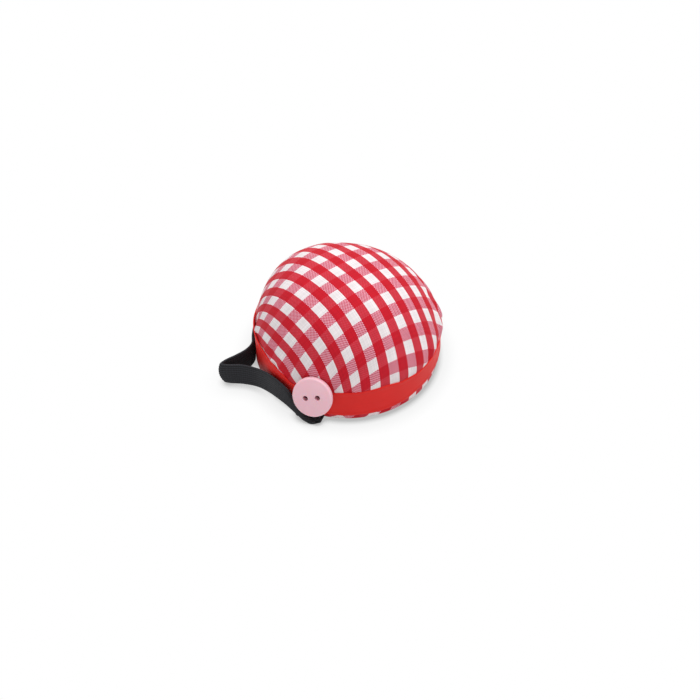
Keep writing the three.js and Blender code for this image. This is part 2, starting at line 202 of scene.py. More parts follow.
# Button
BUTTON_RADIUS = 7.5
BUTTON_THICKNESS = 2.6
BUTTON_RIM = 1.6
BUTTON_RISE = 0.5  # middle of its face over the rim
BUTTON_BACK_EDGE = 0.5
BUTTON_HOLE = 2
BUTTON_HOLE_SPACING = 4.6
BUTTON_HOLE_ANGLE = 16  # of the line through the holes
BUTTON_BEARING = 250
BUTTON_TILT = 25
BUTTON_HEIGHT = 15
BUTTON_REACH = 37.26
BUTTON_SECTORS = 96
BUTTON_BACK_STEPS = 5
BUTTON_RIM_STEPS = 10
BUTTON_FACE_RINGS = 24
BUTTON_HOLE_SECTORS = 32
BUTTON_SHARP = 60  # corners sharper than this are rounded off
BUTTON_ROUNDING = 0.22
BUTTON_ROUNDING_STEPS = 3

# Elastic strap
STRAP_WIDTH = 10
STRAP_THICKNESS = 1.2
STRAP_BEARING = 246
STRAP_TOUCH = 35.9  # middle of the band, along the ribbon
STRAP_LEVEL = 1.4  # height of the slits
STRAP_START = 36.0  # where the band comes out of a slit
STRAP_STUB = 0.8  # flat stretch from there
STRAP_TAB_ROWS = (26.7, 31.2)  # flat rows under the cloth
STRAP_RIBS = 9
STRAP_RIB_POINTS = 8
STRAP_GROOVE = 0.36
STRAP_SELVEDGE = 0.3  # share of that depth along the outer half ribs
STRAP_CROWDING = 0.12  # of the section's points, towards the edges
STRAP_EDGE_POWER = 14
STRAP_EDGE_LEAST = 0.02  # of the thickness, right at the edges
STRAP_STEPS = 14
STRAP_MERGE = 1e-4
SHORTEST_GAP = 1e-3
CHEVRON_PITCH = 0.85
GROOVE_SHADE_REACH = 0.42  # of the painted groove shade, a dark line along the middle of each rib
BACK_LIFT = 0.26  # in strap widths
FOLD_BULGE = 1.25  # roundness of the fold at the left
FOLD_SPREAD = 2.6

# Route of the strap, each row a lower and an upper edge: bearing from the slit, then distance out from the
# ribbon and height in strap widths
SLIT_TURN = [
    ((3.4, 0.18, 0.1), (-8.1, 0.06, 0.38)),
    ((-0.4, 0.22, 0.11), (-8.8, 0.09, 0.68)),
    ((-5.8, 0.14, 0.19), (-10.7, 0.11, 1.01)),
    ((-13.4, 0.08, 0.32), (-14.9, 0.1, 1.29)),
]
FOLD_ROWS = [
    ((-22, 0.07, 0.38), (-22.4, 0.07, 1.36)),
    ((-31.5, 0.09, 0.26), (-32, 0.09, 1.24)),
    ((-39.8, 0.26, 0.11), (-39.6, 0.24, 1.09)),
    ((-45, 0.68, 0.08), (-45.2, 0.64, 1.06)),
    ((-47.7, 1.09, 0.07), (-48.1, 1.16, 1.05)),
    ((-49.1, 1.23, 0.07), (-49.6, 1.33, 1.05)),
    ((-50.5, 1.09, 0.07), (-51, 1.16, 1.05)),
    ((-52.4, 0.68, 0.06), (-53, 0.72, 1.04)),
    ((-55.6, 0.26, 0.05), (-56.2, 0.28, 1.03)),
    ((-60.5, 0.02, 0.05), (-61, 0.02, 1.03)),
    ((-68.5, 0, 0.06), (-68.5, 0, 1.04)),
    ((-80, 0, 0.14), (-80, 0, 1.13)),
]
BACK_BEARINGS = (-92, -105, -118, -132, -146)

# Light and stage
FLOOR_SIZE = 4000
FLOOR_COLOUR = (225, 225, 225)
NEAR_SHADE = (3, 1.5, 0.42)  # reach, fall-off and depth of the shadow right beside a piece
FAR_SHADE = (9, 1.2, 0.15)
WORLD_LIGHT = 0.64
KEY_PLACE = (260, 220, 1150)
KEY_SIZE = 700
KEY_LEVEL = 0.52
SEED = 11


def polar(bearing, radius, height):
    angle = math.radians(bearing)
    return Vector((radius * math.cos(angle), radius * math.sin(angle), height))


def srgb(red, green, blue):
    """A colour as read off a picture, 0 to 255, for a shader's socket."""
    def linear(level):
        share = level / 255
        return share / 12.92 if share <= 0.04045 else ((share + 0.055) / 1.055) ** 2.4
    return (linear(red), linear(green), linear(blue), 1.0)


# Shader helpers

def plug(tree, socket, value):
    if isinstance(value, bpy.types.NodeSocket):
        tree.links.new(value, socket)
    else:
        socket.default_value = value


def maths(tree, operation, *values):
    node = tree.nodes.new("ShaderNodeMath")
    node.operation = operation
    for socket, value in zip(node.inputs, values):
        plug(tree, socket, value)
    return node.outputs[0]


def blend_colour(tree, share, first, second, kind="MIX"):
    """Mixes two colours. The node's colour sockets come after those for numbers and vectors."""
    node = tree.nodes.new("ShaderNodeMix")
    node.data_type = "RGBA"
    node.blend_type = kind
    plug(tree, node.inputs["Factor"], share)
    plug(tree, node.inputs[6], first)
    plug(tree, node.inputs[7], second)
    return node.outputs[2]


def spread(tree, value, low, high, new_low, new_high):
    node = tree.nodes.new("ShaderNodeMapRange")
    names = ("Value", "From Min", "From Max", "To Min", "To Max")
    for name, given in zip(names, (value, low, high, new_low, new_high)):
        plug(tree, node.inputs[name], given)
    return node.outputs["Result"]


def speckle(tree, place, scale, detail=3.0, roughness=0.55):
    node = tree.nodes.new("ShaderNodeTexNoise")
    plug(tree, node.inputs["Vector"], place)
    plug(tree, node.inputs["Scale"], scale)
    plug(tree, node.inputs["Detail"], detail)
    plug(tree, node.inputs["Roughness"], roughness)
    return node.outputs["Fac"]


def stretched(tree, place, scale):
    node = tree.nodes.new("ShaderNodeMapping")
    plug(tree, node.inputs["Vector"], place)
    node.inputs["Scale"].default_value = scale
    return node.outputs["Vector"]


def split(tree, place):
    node = tree.nodes.new("ShaderNodeSeparateXYZ")
    plug(tree, node.inputs[0], place)
    return node.outputs["X"], node.outputs["Y"], node.outputs["Z"]


def own_map(tree, name):
    node = tree.nodes.new("ShaderNodeUVMap")
    node.uv_map = name
    return node.outputs["UV"]


def own_place(tree):
    return tree.nodes.new("ShaderNodeTexCoord").outputs["Object"]


def grey(tree, level):
    node = tree.nodes.new("ShaderNodeCombineColor")
    for socket in node.inputs:
        plug(tree, socket, level)
    return node.outputs["Color"]


def set_relief(tree, shader, height, depth, strength=1.0):
    """Raises a pattern on a shader's surface, by a depth in millimetres."""
    node = tree.nodes.new("ShaderNodeBump")
    plug(tree, node.inputs["Height"], height)
    node.inputs["Distance"].default_value = depth * MM
    node.inputs["Strength"].default_value = strength
    plug(tree, shader.inputs["Normal"], node.outputs["Normal"])


def new_group(name, inputs, outputs):
    group = bpy.data.node_groups.new(name, "ShaderNodeTree")
    for way, sockets in (("INPUT", inputs), ("OUTPUT", outputs)):
        for title, kind in sockets.items():
            group.interface.new_socket(title, in_out=way, socket_type="NodeSocket" + kind)
    return group, group.nodes.new("NodeGroupInput"), group.nodes.new("NodeGroupOutput")


def use_group(tree, group, **values):
    node = tree.nodes.new("ShaderNodeGroup")
    node.node_tree = group
    for title, value in values.items():
        plug(tree, node.inputs[title.replace("_", " ").title()], value)
    return node.outputs


def new_material(name, **sockets):
    """A material and the Principled shader in it, with plain values set on its sockets."""
    material = bpy.data.materials.new(name)
    material.use_nodes = True
    shader = material.node_tree.nodes["Principled BSDF"]
    for title, value in sockets.items():
        shader.inputs[title.replace("_", " ").title().replace("Ior", "IOR")].default_value = value
    return material, material.node_tree, shader


# Shared effects

def gingham_group():
    """Plain weave of white and red threads. Place counts checks; colour and height come out."""
    tree, given, made = new_group(
        "gingham weave",
        inputs={"Place": "Vector", "Warp Threads": "Float", "Weft Threads": "Float"},
        outputs={"Color": "Color", "Height": "Float"},
    )
    across, along, _ = split(tree, given.outputs["Place"])
    # Threads within a quarter of a check from a whole number are white
    warp_white = maths(tree, "LESS_THAN", maths(tree, "PINGPONG", across, 0.5), 0.25)
    weft_white = maths(tree, "LESS_THAN", maths(tree, "PINGPONG", along, 0.5), 0.25)
    warp = maths(tree, "MULTIPLY", across, given.outputs["Warp Threads"])
    weft = maths(tree, "MULTIPLY", along, given.outputs["Weft Threads"])
    warp_number = maths(tree, "FLOOR", warp)
    weft_number = maths(tree, "FLOOR", weft)
    warp_side = maths(tree, "SUBTRACT", maths(tree, "SUBTRACT", warp, warp_number), 0.5)
    weft_side = maths(tree, "SUBTRACT", maths(tree, "SUBTRACT", weft, weft_number), 0.5)
    parity = maths(tree, "FLOORED_MODULO", maths(tree, "ADD", warp_number, weft_number), 2.0)
    over = maths(tree, "SUBTRACT", 1.0, maths(tree, "MULTIPLY", parity, 2.0))

    def thread_height(sign, position, side):
        arch = maths(tree, "COSINE", maths(tree, "MULTIPLY", position, math.pi))
        wave = maths(tree, "MULTIPLY", maths(tree, "MULTIPLY", arch, sign), 0.5)
        round_off = maths(tree, "MULTIPLY", maths(tree, "MULTIPLY", side, side), 2.0)
        return maths(tree, "SUBTRACT", wave, round_off)

    red_rise = 0.16  # red warp stands a little higher than white
    fuller_red = maths(tree, "MULTIPLY", maths(tree, "SUBTRACT", 1.0, warp_white), red_rise)
    warp_height = maths(tree, "ADD", thread_height(over, weft_side, warp_side), fuller_red)
    weft_height = thread_height(maths(tree, "MULTIPLY", over, -1.0), warp_side, weft_side)
    warp_shows = spread(tree, maths(tree, "SUBTRACT", warp_height, weft_height), -0.2, 0.2, 0.0, 1.0)
    height = maths(tree, "MAXIMUM", warp_height, weft_height)

    white, deep = srgb(254, 245, 247), srgb(209, 18, 40)
    warp_on_red = blend_colour(tree, warp_white, deep, srgb(246, 182, 198))
    warp_on_white = blend_colour(tree, warp_white, srgb(214, 34, 50), white)
    weft_on_red = blend_colour(tree, weft_white, deep, srgb(218, 70, 86))
    weft_on_white = blend_colour(tree, weft_white, srgb(212, 52, 82), white)
    warp_colour = blend_colour(tree, weft_white, warp_on_red, warp_on_white)
    weft_colour = blend_colour(tree, warp_white, weft_on_red, weft_on_white)
    colour = blend_colour(tree, warp_shows, weft_colour, warp_colour)

    def yarn_tone(number):
        node = tree.nodes.new("ShaderNodeTexWhiteNoise")
        node.noise_dimensions = "1D"
        plug(tree, node.inputs["W"], number)
        return spread(tree, node.outputs["Value"], 0.0, 1.0, 0.93, 1.04)

    tone = maths(tree, "MULTIPLY", yarn_tone(warp_number), yarn_tone(weft_number))
    # Painted shade: the weave is darkened where its threads lie low, in the hollows between them; each
    # thread's own tone also varies at random
    hollow_shade = spread(tree, height, -0.5, 0.3, 0.72, 1.0)
    shade = grey(tree, maths(tree, "MULTIPLY", tone, hollow_shade))
    plug(tree, made.inputs["Color"], blend_colour(tree, 1.0, colour, shade, "MULTIPLY"))
    plug(tree, made.inputs["Height"], height)
    return tree


def drift_group():
    """Slight unevenness of a finish over the surface."""
    tree, given, made = new_group(
        "uneven finish",
        inputs={"Place": "Vector", "Color": "Color", "Size": "Float", "Amount": "Float"},
        outputs={"Color": "Color", "Value": "Float"},
    )
    cloud = speckle(tree, given.outputs["Place"], given.outputs["Size"])
    swing = maths(tree, "MULTIPLY", maths(tree, "SUBTRACT", cloud, 0.5), given.outputs["Amount"])
    shade = grey(tree, maths(tree, "ADD", 1.0, maths(tree, "MULTIPLY", swing, 2.0)))
    plug(tree, made.inputs["Color"], blend_colour(tree, 1.0, given.outputs["Color"], shade, "MULTIPLY"))
    plug(tree, made.inputs["Value"], cloud)
    return tree


GINGHAM_WEAVE = gingham_group()
UNEVEN_FINISH = drift_group()


# Finishes

def finish_unevenly(tree, shader, colour, size, amount):
    """Puts a slightly uneven colour on a shader, and gives back the unevenness."""
    uneven = use_group(tree, UNEVEN_FINISH, place=own_place(tree), color=colour, size=size, amount=amount)
    plug(tree, shader.inputs["Base Color"], uneven["Color"])
    return uneven["Value"]


def gingham_cotton():
    material, tree, shader = new_material("gingham cotton", roughness=0.85, sheen_weight=0.05,
                                          sheen_roughness=0.5, specular_ior_level=0.25)
    woven = use_group(tree, GINGHAM_WEAVE, place=own_map(tree, "cloth"), warp_threads=float(WARP_THREADS),
                      weft_threads=float(WEFT_THREADS))
    finish_unevenly(tree, shader, woven["Color"], size=90.0, amount=0.06)
    set_relief(tree, shader, woven["Height"], depth=0.07, strength=0.5)
    return material


def satin_ribbon():
    material, tree, shader = new_material("red satin", specular_ior_level=0.15)
    place = own_map(tree, "strip")
    _, across, _ = split(tree, place)
    filling = maths(tree, "SINE", maths(tree, "MULTIPLY", across, 2 * math.pi / SATIN_THREAD))
    slub = speckle(tree, stretched(tree, place, (0.12, 3.0, 1.0)), scale=1.0, detail=4.0)
    from_hem_fold = maths(tree, "SUBTRACT", maths(tree, "PINGPONG", across, HEM_MIRROR), RIBBON_HEM)
    hem_fold_shade = spread(tree, maths(tree, "ABSOLUTE", from_hem_fold), 0.0, HEM_FOLD_SHADE_WIDTH, 0.0, 1.0)
    red = blend_colour(tree, slub, srgb(224, 33, 30), srgb(236, 48, 43))
    # Painted shade: a darker red along the fold where each hem ends
    edge = blend_colour(tree, spread(tree, hem_fold_shade, 0.0, 1.0, 0.78, 1.0), srgb(160, 14, 20), red)
    finish_unevenly(tree, shader, edge, size=120.0, amount=0.07)
    plug(tree, shader.inputs["Roughness"], spread(tree, slub, 0.2, 0.8, 0.42, 0.58))
    threads = maths(tree, "ADD", maths(tree, "MULTIPLY", filling, 0.35), maths(tree, "MULTIPLY", slub, 0.8))
    set_relief(tree, shader, threads, depth=0.04, strength=0.5)
    return material


def pink_plastic():
    material, tree, shader = new_material("pink plastic", specular_ior_level=0.5, coat_weight=0.15,
                                          coat_roughness=0.2, subsurface_weight=0.15, subsurface_scale=0.002)
    cloud = finish_unevenly(tree, shader, srgb(246, 196, 208), size=160.0, amount=0.05)
    plug(tree, shader.inputs["Roughness"], spread(tree, cloud, 0.2, 0.8, 0.3, 0.42))
    fine = speckle(tree, own_place(tree), scale=2600.0, detail=2.0)
    set_relief(tree, shader, fine, depth=0.02, strength=0.25)
    return material


def black_elastic():
    material, tree, shader = new_material("black elastic", roughness=0.8, sheen_weight=0.1,
                                          sheen_roughness=0.4, specular_ior_level=0.3)
    along, across, _ = split(tree, own_map(tree, "band"))
    half_rib = STRAP_WIDTH / STRAP_RIBS / 2
    slanted = maths(tree, "ADD", along, maths(tree, "PINGPONG", across, half_rib))
    chevron = maths(tree, "SINE", maths(tree, "MULTIPLY", slanted, 2 * math.pi / CHEVRON_PITCH))
    # Painted shade: a near-black line along each rib stands for the shade in its groove
    from_middle = maths(tree, "PINGPONG", maths(tree, "ADD", across, half_rib), half_rib)
    groove_shade = spread(tree, from_middle, 0.0, GROOVE_SHADE_REACH, 0.0, 1.0)
    yarn = blend_colour(tree, spread(tree, chevron, -1.0, 1.0, 0.0, 1.0), srgb(37, 38, 42), srgb(50, 51, 57))
    dark = blend_colour(tree, groove_shade, srgb(5, 5, 7), yarn)
    finish_unevenly(tree, shader, dark, size=140.0, amount=0.12)
    knit = maths(tree, "ADD", maths(tree, "MULTIPLY", chevron, 0.4), maths(tree, "MULTIPLY", groove_shade, 2.0))
    set_relief(tree, shader, knit, depth=0.06, strength=0.6)
    return material


def cup_plastic():
    material, tree, shader = new_material("white moulded plastic", roughness=0.45)
    finish_unevenly(tree, shader, srgb(230, 228, 222), size=80.0, amount=0.05)
    set_relief(tree, shader, speckle(tree, own_place(tree), scale=900.0), depth=0.03, strength=0.4)
    return material


def fibre_wadding():
    material, tree, shader = new_material("polyester fibre", roughness=0.95, sheen_weight=0.4)
    place = stretched(tree, own_place(tree), (1.0, 1.6, 0.6))
    fluff = speckle(tree, place, scale=420.0, detail=6.0, roughness=0.7)
    white = blend_colour(tree, fluff, srgb(222, 220, 216), srgb(248, 247, 244))
    plug(tree, shader.inputs["Base Color"], white)
    set_relief(tree, shader, fluff, depth=0.6, strength=0.8)
    return material


def twisted_thread():
    material, tree, shader = new_material("red thread", roughness=0.7, sheen_weight=0.3)
    wave = tree.nodes.new("ShaderNodeTexWave")
    wave.bands_direction = "DIAGONAL"
    plug(tree, wave.inputs["Vector"], own_place(tree))
    wave.inputs["Scale"].default_value = 900.0
    twist = wave.outputs["Fac"]
    plug(tree, shader.inputs["Base Color"], blend_colour(tree, twist, srgb(140, 18, 32), srgb(186, 36, 50)))
    set_relief(tree, shader, twist, depth=0.08)
    return material


def set_glue(name, colour):
    material, tree, shader = new_material(name, roughness=0.25)
    cloud = finish_unevenly(tree, shader, colour, size=260.0, amount=0.1)
    set_relief(tree, shader, cloud, depth=0.3, strength=0.6)
    return material


# Mesh helpers

def put_in_order(elements, place):
    """Numbers a mesh's elements by their places, since merging leaves them in a chance order."""
    for k, element in enumerate(sorted(elements, key=place)):
        element.index = k
    elements.sort()


def spun(profile, sectors):
    """A closed or open shape turned round Z from a profile of radius and height."""
    shape = bmesh.new()
    line = [shape.verts.new((radius, 0, height)) for radius, height in profile]
    edges = [shape.edges.new(pair) for pair in zip(line, line[1:])]
    bmesh.ops.spin(shape, geom=line + edges, cent=(0, 0, 0), axis=(0, 0, 1), angle=2 * math.pi, steps=sectors,
                   use_merge=True)
    bmesh.ops.remove_doubles(shape, verts=shape.verts, dist=CLOSE_ENOUGH)
    bmesh.ops.recalc_face_normals(shape, faces=shape.faces)
    put_in_order(shape.verts, lambda vert: vert.co[:])
    put_in_order(shape.edges, lambda edge: (edge.verts[0].co + edge.verts[1].co)[:])
    put_in_order(shape.faces, lambda face: face.calc_center_median()[:])
    return shape


def arc(middle_radius, middle_height, radius, first, last, steps):
    points = []
    for k in range(steps + 1):
        angle = math.radians(first + (last - first) * k / steps)
        points.append((middle_radius + radius * math.cos(angle), middle_height + radius * math.sin(angle)))
    return points


def new_piece(name, shape, material):
    bmesh.ops.scale(shape, vec=(MM, MM, MM), verts=shape.verts)
    mesh = bpy.data.meshes.new(name)
    shape.to_mesh(mesh)
    shape.free()
    mesh.materials.append(material)
    mesh.polygons.foreach_set("use_smooth", [True] * len(mesh.polygons))
    piece = bpy.data.objects.new(name, mesh)
    bpy.context.scene.collection.objects.link(piece)
    return piece


def settle(piece):
    """Makes a piece's modifiers part of its mesh."""
    depsgraph = bpy.context.evaluated_depsgraph_get()
    mesh = bpy.data.meshes.new_from_object(piece.evaluated_get(depsgraph))
    piece.modifiers.clear()
    old = piece.data
    piece.data = mesh
    bpy.data.meshes.remove(old)
    mesh.name = piece.name


def thicken(piece, thickness):
    """Gives a sheet its thickness, inwards."""
    solid = piece.modifiers.new("thickness", "SOLIDIFY")
    solid.thickness = thickness * MM
    solid.offset = -1
    settle(piece)


def cut_away(piece, tools):
    for tool in tools:
        cutter = new_piece("cutter", tool, piece.data.materials[0])
        boolean = piece.modifiers.new("cut", "BOOLEAN")
        boolean.object = cutter
        boolean.solver = "EXACT"
        settle(piece)
        bpy.data.objects.remove(cutter)


def mesh_points(mesh):
    flat = np.zeros(3 * len(mesh.vertices))
    mesh.vertices.foreach_get("co", flat)
    return flat.reshape(-1, 3) / MM


def plan_places(points):
    """Distances from the axis, and bearings from 0 to 360."""
    radii = np.hypot(points[:, 0], points[:, 1])
    return radii, np.degrees(np.arctan2(points[:, 1], points[:, 0])) % 360


def put_points(mesh, points):
    mesh.vertices.foreach_set("co", (np.asarray(points) * MM).ravel())
    mesh.update()


def put_map(mesh, name, places):
    """Writes one place for each vertex into a UV map."""
    corners = np.zeros(len(mesh.loops), np.int64)
    mesh.loops.foreach_get("vertex_index", corners)
    layer = mesh.uv_layers.get(name) or mesh.uv_layers.new(name=name)
    layer.data.foreach_set("uv", np.asarray(places)[corners].ravel())


# Net of the cloth on the dome: two straight threads cross at the start, and every other mesh of the net keeps
# its sides' lengths, as woven cloth does when it is drawn over a round form

def dome_rise(x, y):
    turn = math.radians(PLUMP_BEARING)
    return DOME_HEIGHT * (1 + DOME_LEAN * (x * math.cos(turn) + y * math.sin(turn)) / DOME_RADIUS)


def dome_gap(point):
    x, y, z = point
    plan = (math.hypot(x, y) / DOME_RADIUS) ** DOME_PLAN_POWER
    return plan + (abs(z - DOME_SEAT) / dome_rise(x, y)) ** DOME_RISE_POWER - 1


def dome_slope(point):
    step = 1e-4
    slope = np.zeros(3)
    for k in range(3):
        ahead, behind = point.copy(), point.copy()
        ahead[k] += step
        behind[k] -= step
        slope[k] = (dome_gap(ahead) - dome_gap(behind)) / (2 * step)
    return slope


def straight_thread(start, heading, step, count):
    line, way = [start], heading
    for _ in range(count):
        last = line[-1]
        normal = dome_slope(last)
        normal /= np.linalg.norm(normal)
        way = way - normal * (way @ normal)
        way /= np.linalg.norm(way)
        side = np.cross(normal, way)
        point = last + way * step
        for _ in range(FIT_ROUNDS):
            off = point - last
            miss = np.array([dome_gap(point), off @ off - step * step, off @ side])
            point = point - np.linalg.solve(np.stack([dome_slope(point), 2 * off, side]), miss)
        way = (point - last) / step
        line.append(point)
    return line


def net_corner(side, ahead, opposite, side_length, ahead_length):
    """Fourth corner of a mesh of the net, or None where the cloth can't shear that far."""
    point = side + ahead - opposite
    for _ in range(CORNER_ROUNDS):
        from_side, from_ahead = point - side, point - ahead
        miss = np.array([dome_gap(point), from_side @ from_side - side_length ** 2,
                         from_ahead @ from_ahead - ahead_length ** 2])
        jacobian = np.stack([dome_slope(point), 2 * from_side, 2 * from_ahead])
        if abs(np.linalg.det(jacobian)) < NEARLY_ZERO:
            return None
        move = np.linalg.solve(jacobian, miss)
        length = np.linalg.norm(move)
        point = point - move * min(1, CORNER_MOVE / max(length, NEARLY_ZERO))
        if length < CLOSE_ENOUGH:
            return point if point[2] > DOME_SEAT - NET_DEPTH else None
    return None


def cloth_net():
    """Points of the net by line numbers across and along, counted from the start."""
    across_step, along_step = CHECK_ACROSS / NET_SPLIT, CHECK_ALONG / NET_SPLIT
    x, y = NET_START
    plan = (math.hypot(x, y) / DOME_RADIUS) ** DOME_PLAN_POWER
    start = np.array([x, y, DOME_SEAT + dome_rise(x, y) * (1 - plan) ** (1 / DOME_RISE_POWER)])
    warp = np.array(polar(WARP_BEARING, 1, 0))
    weft = np.array(polar(WARP_BEARING + WEFT_TURN, 1, 0))
    net = {}
    for a in (1, -1):
        for b in (1, -1):
            first = straight_thread(start, a * weft, across_step, NET_REACH_ACROSS * NET_SPLIT)
            second = straight_thread(start, b * warp, along_step, NET_REACH_ALONG * NET_SPLIT)
            net.update({(a * i, 0): point for i, point in enumerate(first)})
            net.update({(0, b * j): point for j, point in enumerate(second)})
            for i in range(1, len(first)):
                for j in range(1, len(second)):
                    near = [net.get(key) for key in ((a * (i - 1), b * j), (a * i, b * (j - 1)),
                                                     (a * (i - 1), b * (j - 1)))]
                    if any(point is None for point in near):
                        continue
                    point = net_corner(*near, across_step, along_step)
                    if point is not None:
                        net[a * i, b * j] = point
    return net


def check_numbers(points):
    """Check numbers, across and along, of points on the dome."""
    net = cloth_net()
    keys = list(net)
    number = {key: k for k, key in enumerate(keys)}
    faces, starts = [], []
    for i, j in keys:
        corner_keys = ((i, j), (i + 1, j), (i + 1, j + 1), (i, j + 1))
        if all(key in number for key in corner_keys):
            faces.append([number[key] for key in corner_keys])
            starts.append((i, j))
    places = np.array([net[key] for key in keys])
    tree = BVHTree.FromPolygons([Vector(place) for place in places], faces)
    found = np.array([tree.find_nearest(Vector(point))[2] for point in points])
    a, b, c, d = (places[np.array(faces)[found, k]] for k in range(4))
    s = np.full(len(points), 0.5)
    t = np.full(len(points), 0.5)
    for _ in range(FIT_ROUNDS):
        s1, t1 = s[:, None], t[:, None]
        miss = points - ((1 - t1) * ((1 - s1) * a + s1 * b) + t1 * ((1 - s1) * d + s1 * c))
        by_s = (1 - t1) * (b - a) + t1 * (c - d)
        by_t = (1 - s1) * (d - a) + s1 * (c - b)
        ss, tt, st = (by_s * by_s).sum(1), (by_t * by_t).sum(1), (by_s * by_t).sum(1)
        ms, mt = (miss * by_s).sum(1), (miss * by_t).sum(1)
        scale = np.maximum(ss * tt - st * st, NEARLY_ZERO)
        s = np.clip(s + (ms * tt - mt * st) / scale, -OVERSHOOT, 1 + OVERSHOOT)
        t = np.clip(t + (mt * ss - ms * st) / scale, -OVERSHOOT, 1 + OVERSHOOT)
    lines = np.array(starts)[found] + np.stack([s, t], 1)
    return lines / NET_SPLIT + np.array(NET_CHECK)


# Dome

def turned(bearings, middle):
    """Angle from a bearing, between -180 and 180."""
    return (bearings - middle + 180) % 360 - 180


def wave_at(wave, bearing):
    """Rise of an edge of the ribbon, smooth between the bearings that are given."""
    bearing %= 360
    knots = wave + [(360, wave[0][1])]
    for (first, low), (last, high) in zip(knots, knots[1:]):
        if first <= bearing <= last:
            share = (bearing - first) / (last - first)
            return low + (high - low) * share * share * (3 - 2 * share)
    return 0.0


def tuck_depth(bearings, heights):
    angle = np.radians(bearings)
    uneven = 1 - GATHER_VARIETY * (1 - np.cos(GATHER_GROUPS * angle))
    depth = GATHER_DEPTH * (0.5 - 0.5 * np.cos(GATHERS * angle)) * uneven
    depth *= np.exp(-(heights / GATHER_REACH) ** 2)
    for middle, width, deep, reach, lean in PLEATS:
        off = turned(bearings, middle + lean * heights) / width
        fold = np.exp(-off ** 2) - PLEAT_SHOULDER * np.exp(-(off - PLEAT_SHOULDER_PLACE) ** 2)
        depth += deep * fold * np.exp(-(heights / reach) ** 2)
    draw = random.Random(SEED)
    for k in range(PUCKERS):
        middle = (k + draw.uniform(-PUCKER_JITTER, PUCKER_JITTER)) * 360 / PUCKERS
        deep = draw.uniform(*PUCKER_DEPTH)
        off = turned(bearings, middle) / draw.uniform(*PUCKER_WIDTH)
        depth += deep * np.exp(-off ** 2) * np.exp(-(heights / draw.uniform(*PUCKER_REACH)) ** 2)
    return depth


def dome_profile():
    profile = []
    for k in range(DOME_RINGS + 1):
        tilt = math.pi / 2 * k / DOME_RINGS
        share = math.sin(tilt) ** (2 / DOME_PLAN_POWER)
        lift = max(math.cos(tilt), 0) ** (2 / DOME_RISE_POWER)
        profile.append((DOME_RADIUS * share, DOME_SEAT + DOME_HEIGHT * lift))
    profile += [(DOME_RADIUS - inward, SEAM_HEIGHT + above) for inward, above in SEAM_OUTER]
    profile += [(PLUG_RADIUS + outward, SEAM_HEIGHT + above) for outward, above in SEAM_INNER]
    profile += arc(PLUG_RADIUS - PLUG_EDGE, PLUG_BOTTOM + PLUG_EDGE, PLUG_EDGE, 0, -90, PLUG_EDGE_STEPS)
    return profile + [(NECK_RADIUS, PLUG_BOTTOM), (NECK_RADIUS, NECK_BOTTOM), (0, NECK_BOTTOM)]


def dome_cloth(material):
    dome = new_piece("dome_cloth", spun(dome_profile(), DOME_SECTORS), material)
    points = mesh_points(dome.data)
    radii, bearings = plan_places(points)
    shares = np.minimum(radii / DOME_RADIUS, 1)
    lean = 1 + DOME_LEAN * np.cos(np.radians(bearings - PLUMP_BEARING)) * shares
    heights = (points[:, 2] - DOME_SEAT) * lean
    outside = points[:, 2] > SEAM_HEIGHT + SEAM_MARGIN
    smooth = points.copy()
    edge = np.array([wave_at(RIBBON_TOP_WAVE, bearing) for bearing in bearings])
    sink = np.minimum(edge - RIM_SINK, 0) * np.exp(-(np.maximum(heights, 0) / RIM_SINK_REACH) ** 2)
    smooth[:, 2] = DOME_SEAT + heights
    put_map(dome.data, "cloth", check_numbers(np.where(outside[:, None], smooth, points)))
    smooth[:, 2] += sink
    plans = 1 - np.clip((heights + sink) / (DOME_HEIGHT * lean), 0, 1) ** DOME_RISE_POWER
    fuller = DOME_RADIUS * plans ** (1 / DOME_PLAN_POWER) / np.maximum(radii, LEAST_RADIUS)
    smooth[:, :2] *= np.where(sink < -SINK_LEAST, np.maximum(fuller, 1), 1)[:, None]
    pressed = PRESSED_SHARE + (1 - PRESSED_SHARE) * np.clip(heights / PRESSED_REACH, 0, 1)
    depth = shares * pressed * tuck_depth(bearings, np.maximum(heights, 0))
    depth += RIM_ROLL * np.exp(-(heights / RIM_ROLL_REACH) ** 2)
    lumps = np.array([noise.noise(Vector(point) / LUMP_SIZE) for point in smooth]) * LUMP_HEIGHT
    for middle, wide, level, tall, out in SWELLS:
        aside, above = turned(bearings, middle) / wide, (heights - level) / tall
        depth -= out * np.exp(-aside ** 2 - above ** 2)
    scale = 1 + (lumps - depth) / np.maximum(radii, CORE_RADIUS)
    shaped = smooth.copy()
    shaped[:, :2] *= scale[:, None]
    shaped[:, 2] += lumps * (1 - shares)
    put_points(dome.data, np.where(outside[:, None], shaped, points))
    return dome


# Cup's cloth

def base_profile():
    flat = COVER_RADIUS - COVER_EDGE
    profile = [(k * flat / COVER_FLOOR_RINGS, 0) for k in range(COVER_FLOOR_RINGS)]
    profile += arc(flat, COVER_EDGE, COVER_EDGE, -90, 0, COVER_EDGE_STEPS)
    turn = (COVER_RADIUS - COVER_INNER) / 2
    side = COVER_TOP - turn - COVER_EDGE
    profile += [(COVER_RADIUS, COVER_EDGE + side * k / COVER_SIDE_RINGS) for k in range(1, COVER_SIDE_RINGS)]
    profile += arc(COVER_RADIUS - turn, COVER_TOP - turn, turn, 0, 180, COVER_EDGE_STEPS)
    return profile + [(COVER_INNER, COVER_HEM_END)]


